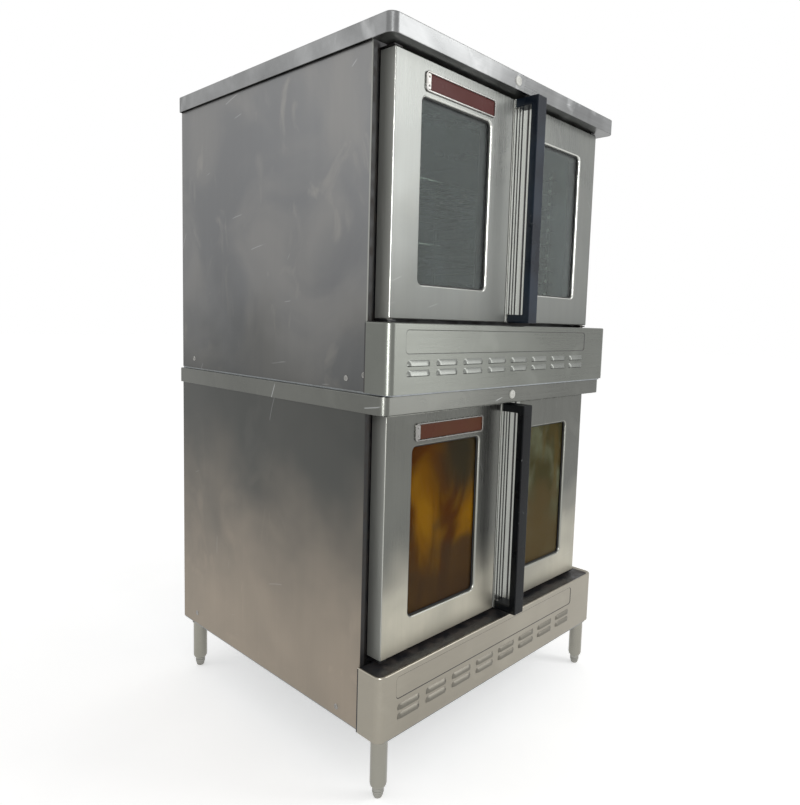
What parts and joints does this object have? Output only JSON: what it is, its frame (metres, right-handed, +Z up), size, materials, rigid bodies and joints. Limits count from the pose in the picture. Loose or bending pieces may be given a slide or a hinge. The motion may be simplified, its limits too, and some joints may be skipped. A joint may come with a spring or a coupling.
{
  "type": "double-stack convection oven",
  "caption": "Two stacked gas convection ovens with paired glazed doors, a full-height bar handle on each, louvred lower panels and tubular legs with adjustable feet.",
  "frame": {"origin": "on the floor under the middle of the overall box", "axes": "+Z up, the front and its doors face -Y, +X to the right seen from the front"},
  "size_m": [0.972, 0.977, 1.794],
  "materials": {
    "brushed_steel": "satin, brushed",
    "dark_steel": "dark heat-stained",
    "galvanised_steel": "galvanised",
    "porcelain_enamel": "semi-gloss porcelain enamel",
    "black_enamel": "satin enamel",
    "chrome_wire": "bright plated",
    "oven_glass": "clear, smoked by baking",
    "painted_motor": "satin",
    "turned_steel": "turned"
  },
  "bodies": {
    "body": {"front_left_leg": "brushed_steel", "front_right_leg": "brushed_steel", "back_left_leg": "brushed_steel", "back_right_leg": "brushed_steel", "lower_top_cap": "brushed_steel", "lower_left_side_panel": "brushed_steel", "lower_right_side_panel": "brushed_steel", "lower_rear_panel": "galvanised_steel", "lower_base_pan": "galvanised_steel", "lower_face_frame": "dark_steel", "lower_oven_liner": "porcelain_enamel", "lower_firebox": "galvanised_steel", "lower_louvre_panel": "brushed_steel", "lower_left_rack_guide": "chrome_wire", "lower_left_hinge_rod": "turned_steel", "lower_right_rack_guide": "chrome_wire", "lower_right_hinge_rod": "turned_steel", "lower_fan_baffle": "porcelain_enamel", "lower_blower_motor": "painted_motor", "upper_top_cap": "brushed_steel", "upper_left_side_panel": "brushed_steel", "upper_right_side_panel": "brushed_steel", "upper_rear_panel": "galvanised_steel", "upper_base_pan": "galvanised_steel", "upper_face_frame": "dark_steel", "upper_oven_liner": "porcelain_enamel", "upper_firebox": "galvanised_steel", "upper_louvre_panel": "brushed_steel", "upper_left_rack_guide": "chrome_wire", "upper_left_hinge_rod": "turned_steel", "upper_right_rack_guide": "chrome_wire", "upper_right_hinge_rod": "turned_steel", "upper_fan_baffle": "porcelain_enamel", "upper_blower_motor": "painted_motor"},
    "front_left_foot": {"front_left_foot": "turned_steel"},
    "front_right_foot": {"front_right_foot": "turned_steel"},
    "back_left_foot": {"back_left_foot": "turned_steel"},
    "back_right_foot": {"back_right_foot": "turned_steel"},
    "lower_blower_wheel": {"lower_blower_wheel": "galvanised_steel"},
    "lower_left_door": {"lower_left_door_shell": "brushed_steel", "lower_left_door_inner_panel": "brushed_steel", "lower_left_door_window": "oven_glass"},
    "lower_right_door": {"lower_right_door_shell": "brushed_steel", "lower_right_door_inner_panel": "brushed_steel", "lower_right_door_window": "oven_glass", "lower_centre_trim": "brushed_steel", "lower_handle": "black_enamel"},
    "lower_rack_1": {"lower_rack_1": "chrome_wire"},
    "lower_rack_2": {"lower_rack_2": "chrome_wire"},
    "upper_blower_wheel": {"upper_blower_wheel": "galvanised_steel"},
    "upper_left_door": {"upper_left_door_shell": "brushed_steel", "upper_left_door_inner_panel": "brushed_steel", "upper_left_door_window": "oven_glass"},
    "upper_right_door": {"upper_right_door_shell": "brushed_steel", "upper_right_door_inner_panel": "brushed_steel", "upper_right_door_window": "oven_glass", "upper_centre_trim": "brushed_steel", "upper_handle": "black_enamel"},
    "upper_rack_1": {"upper_rack_1": "chrome_wire"},
    "upper_rack_2": {"upper_rack_2": "chrome_wire"}
  },
  "joints": [
    {"name": "front_left_foot_turn", "type": "hinge", "parent": "body", "child": "front_left_foot", "pos_m": [-0.454, -0.4305, 0], "axis": [0, 0, 1], "continuous": true},
    {"name": "front_right_foot_turn", "type": "hinge", "parent": "body", "child": "front_right_foot", "pos_m": [0.454, -0.4305, 0], "axis": [0, 0, 1], "continuous": true},
    {"name": "back_left_foot_turn", "type": "hinge", "parent": "body", "child": "back_left_foot", "pos_m": [-0.454, 0.4285, 0], "axis": [0, 0, 1], "continuous": true},
    {"name": "back_right_foot_turn", "type": "hinge", "parent": "body", "child": "back_right_foot", "pos_m": [0.454, 0.4285, 0], "axis": [0, 0, 1], "continuous": true},
    {"name": "lower_left_door_hinge", "type": "hinge", "parent": "body", "child": "lower_left_door", "pos_m": [-0.428, -0.3985, 0.326], "axis": [0, 0, 1], "range_deg": [-130, 0]},
    {"name": "lower_right_door_hinge", "type": "hinge", "parent": "body", "child": "lower_right_door", "pos_m": [0.428, -0.3985, 0.326], "axis": [0, 0, 1], "range_deg": [0, 130]},
    {"name": "lower_blower_spin", "type": "hinge", "parent": "body", "child": "lower_blower_wheel", "pos_m": [0, 0.3435, 0.624], "axis": [0, 1, 0], "continuous": true},
    {"name": "lower_rack_1_slide", "type": "slide", "parent": "body", "child": "lower_rack_1", "axis": [0, -1, 0], "range_m": [0, 0.04]},
    {"name": "lower_rack_2_slide", "type": "slide", "parent": "body", "child": "lower_rack_2", "axis": [0, -1, 0], "range_m": [0, 0.04]},
    {"name": "upper_left_door_hinge", "type": "hinge", "parent": "body", "child": "upper_left_door", "pos_m": [-0.428, -0.3985, 1.147], "axis": [0, 0, 1], "range_deg": [-130, 0]},
    {"name": "upper_right_door_hinge", "type": "hinge", "parent": "body", "child": "upper_right_door", "pos_m": [0.428, -0.3985, 1.147], "axis": [0, 0, 1], "range_deg": [0, 130]},
    {"name": "upper_blower_spin", "type": "hinge", "parent": "body", "child": "upper_blower_wheel", "pos_m": [0, 0.3435, 1.445], "axis": [0, 1, 0], "continuous": true},
    {"name": "upper_rack_1_slide", "type": "slide", "parent": "body", "child": "upper_rack_1", "axis": [0, -1, 0], "range_m": [0, 0.04]},
    {"name": "upper_rack_2_slide", "type": "slide", "parent": "body", "child": "upper_rack_2", "axis": [0, -1, 0], "range_m": [0, 0.04]}
  ],
  "couplings": [
    {"joint": "lower_left_door_hinge", "follows": "lower_right_door_hinge", "ratio": -1},
    {"joint": "upper_left_door_hinge", "follows": "upper_right_door_hinge", "ratio": -1}
  ]
}
